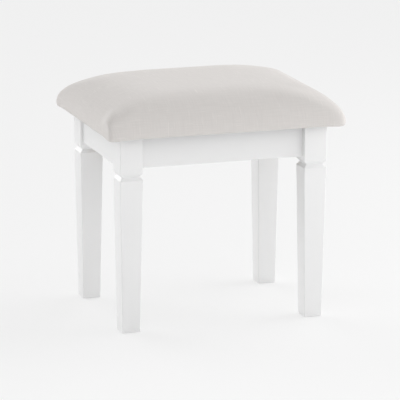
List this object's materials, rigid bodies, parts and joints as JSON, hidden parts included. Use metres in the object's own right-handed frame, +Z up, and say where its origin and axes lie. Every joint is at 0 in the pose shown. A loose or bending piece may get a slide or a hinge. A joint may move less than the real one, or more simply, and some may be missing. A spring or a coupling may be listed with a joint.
{
  "type": "vanity stool",
  "caption": "Rectangular stool with a crowned, fabric-covered seat over plain set-back rails, on square tapered legs with a V-groove collar.",
  "frame": {"origin": "on the floor, under the middle of the stool", "axes": "+Z up, +X to the sitter's side along the long side of the seat, +Y across the short side to the back"},
  "size_m": [0.482, 0.377, 0.4647],
  "materials": {
    "white_painted_wood": "satin white paint on smooth hardwood",
    "bare_softwood": "planed, unpainted",
    "zinc_plated_steel": "bright zinc plated",
    "grey_nylon": "moulded",
    "plywood": "sanded, unfinished",
    "upholstery_foam": "cut polyurethane foam",
    "polyester_wadding": "lofted fibre",
    "woven_cover_fabric": "plain linen-look weave with fine slubs",
    "nonwoven_cloth": "black spun-bonded cloth"
  },
  "bodies": {
    "root": {"leg_front_left": "white_painted_wood", "leg_front_right": "white_painted_wood", "leg_back_left": "white_painted_wood", "leg_back_right": "white_painted_wood", "front_rail": "white_painted_wood", "back_rail": "white_painted_wood", "left_rail": "white_painted_wood", "right_rail": "white_painted_wood", "corner_block_front_left": "bare_softwood", "corner_block_front_right": "bare_softwood", "corner_block_back_left": "bare_softwood", "corner_block_back_right": "bare_softwood", "block_screws": "zinc_plated_steel", "seat_screws": "zinc_plated_steel", "foot_glides": "grey_nylon", "seat_board": "plywood", "seat_foam": "upholstery_foam", "seat_wadding": "polyester_wadding", "seat_cover": "woven_cover_fabric", "dust_cover": "nonwoven_cloth"}
  },
  "joints": []
}
